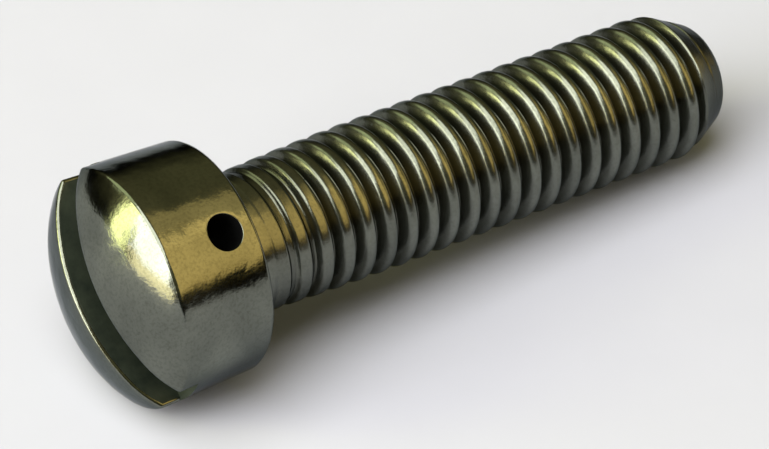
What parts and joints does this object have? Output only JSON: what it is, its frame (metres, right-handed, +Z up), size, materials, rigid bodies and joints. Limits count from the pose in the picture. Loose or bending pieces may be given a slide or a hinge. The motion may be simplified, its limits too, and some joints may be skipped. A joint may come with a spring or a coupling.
{
  "type": "cheese head screw",
  "caption": "Cheese head screw with a raised crown, a straight drive slot, a lockwire hole across the head and a fine right-hand thread to a tapered point.",
  "frame": {"origin": "centre of the bearing face under the head, on the screw's axis", "axes": "+X along the screw toward its point, 4.3 degrees above the axis; +Z up, with the screw lying as it rests on the edge of its bearing face and its last full thread"},
  "size_m": [0.0236, 0.0076, 0.0078],
  "materials": {
    "plated_steel": "bright plated, worn by handling"
  },
  "bodies": {
    "root": {"screw": "plated_steel"}
  },
  "joints": []
}
